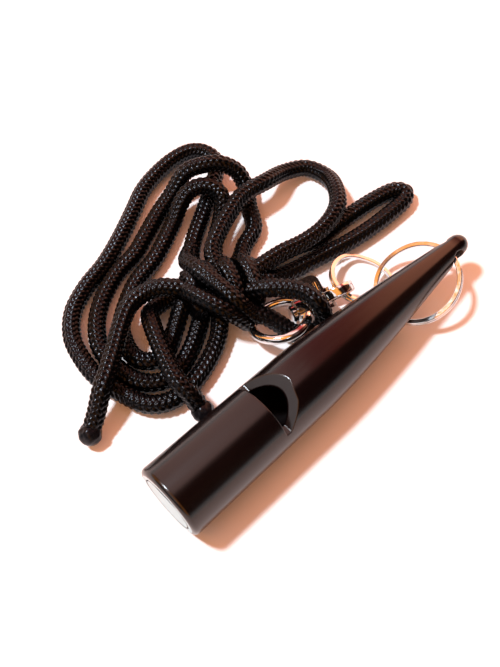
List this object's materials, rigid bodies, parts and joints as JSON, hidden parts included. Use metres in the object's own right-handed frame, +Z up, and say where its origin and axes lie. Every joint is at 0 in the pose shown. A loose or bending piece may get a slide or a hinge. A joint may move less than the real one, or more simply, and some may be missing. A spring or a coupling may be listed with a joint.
{
  "type": "dog whistle",
  "caption": "Tubular plastic dog whistle with a windowed bore, linked by split rings and a swivel snap to a braided neck lanyard lying in a loose pile.",
  "frame": {"origin": "middle of the base of the hard parts, on the surface that the object lies on", "axes": "+X along the whistle from the mouthpiece to the tail, +Y towards the pile of cord, +Z up"},
  "size_m": [0.0932, 0.0739, 0.0154],
  "materials": {
    "body_plastic": "polished, black with a brown cast",
    "plug_plastic": "polished",
    "ring_steel": "bright nickel-plated",
    "snap_chrome": "polished",
    "cord_braid": "tight round braid",
    "cord_melt": "braid sealed by melting"
  },
  "bodies": {
    "lanyard": {"cord_outer_loop": "cord_braid", "cord_inner_loop": "cord_braid", "cord_middle_loop": "cord_braid", "cord_right_loop": "cord_braid", "cord_far_loop": "cord_braid", "cord_hitch_loop": "cord_braid", "cord_long_tail": "cord_braid", "cord_short_tail": "cord_braid", "lanyard_knot": "cord_braid", "long_tail_melt": "cord_melt", "short_tail_melt": "cord_melt", "hook_body": "snap_chrome", "gate_pin": "ring_steel"},
    "eye": {"swivel_eye": "snap_chrome"},
    "gate": {"gate_lever": "snap_chrome"},
    "link_ring": {"link_split_ring": "ring_steel"},
    "tail_ring": {"tail_split_ring": "ring_steel"},
    "whistle": {"whistle_body": "body_plastic", "fipple_plug": "plug_plastic"}
  },
  "joints": [
    {"name": "eye_swivel", "type": "hinge", "parent": "lanyard", "child": "eye", "pos_m": [0.00156, 0.00838, 0.00371], "axis": [-0.9527, 0.2913, -0.0872], "range_deg": [0, 20]},
    {"name": "gate_hinge", "type": "hinge", "parent": "lanyard", "child": "gate", "pos_m": [0.01247, 0.00622, 0.00189], "axis": [-0.2399, -0.8962, -0.3732], "range_deg": [0, 14], "stiffness_Nm_per_rad": 0.01, "springref_deg": -17.19},
    {"name": "link_ring_turn", "type": "hinge", "parent": "lanyard", "child": "link_ring", "pos_m": [0.02186, 0.00368, 0.00286], "axis": [0.2756, 0, 0.9613], "range_deg": [0, 25]},
    {"name": "tail_ring_turn", "type": "hinge", "parent": "link_ring", "child": "tail_ring", "pos_m": [0.02832, -0.00539, 0.00502], "axis": [-0.4207, 0.2015, 0.8846], "range_deg": [0, 25]},
    {"name": "whistle_swing", "type": "hinge", "parent": "tail_ring", "child": "whistle", "pos_m": [0.03625, -0.00622, 0.00898], "axis": [0, 1, 0], "range_deg": [0, 60]}
  ]
}
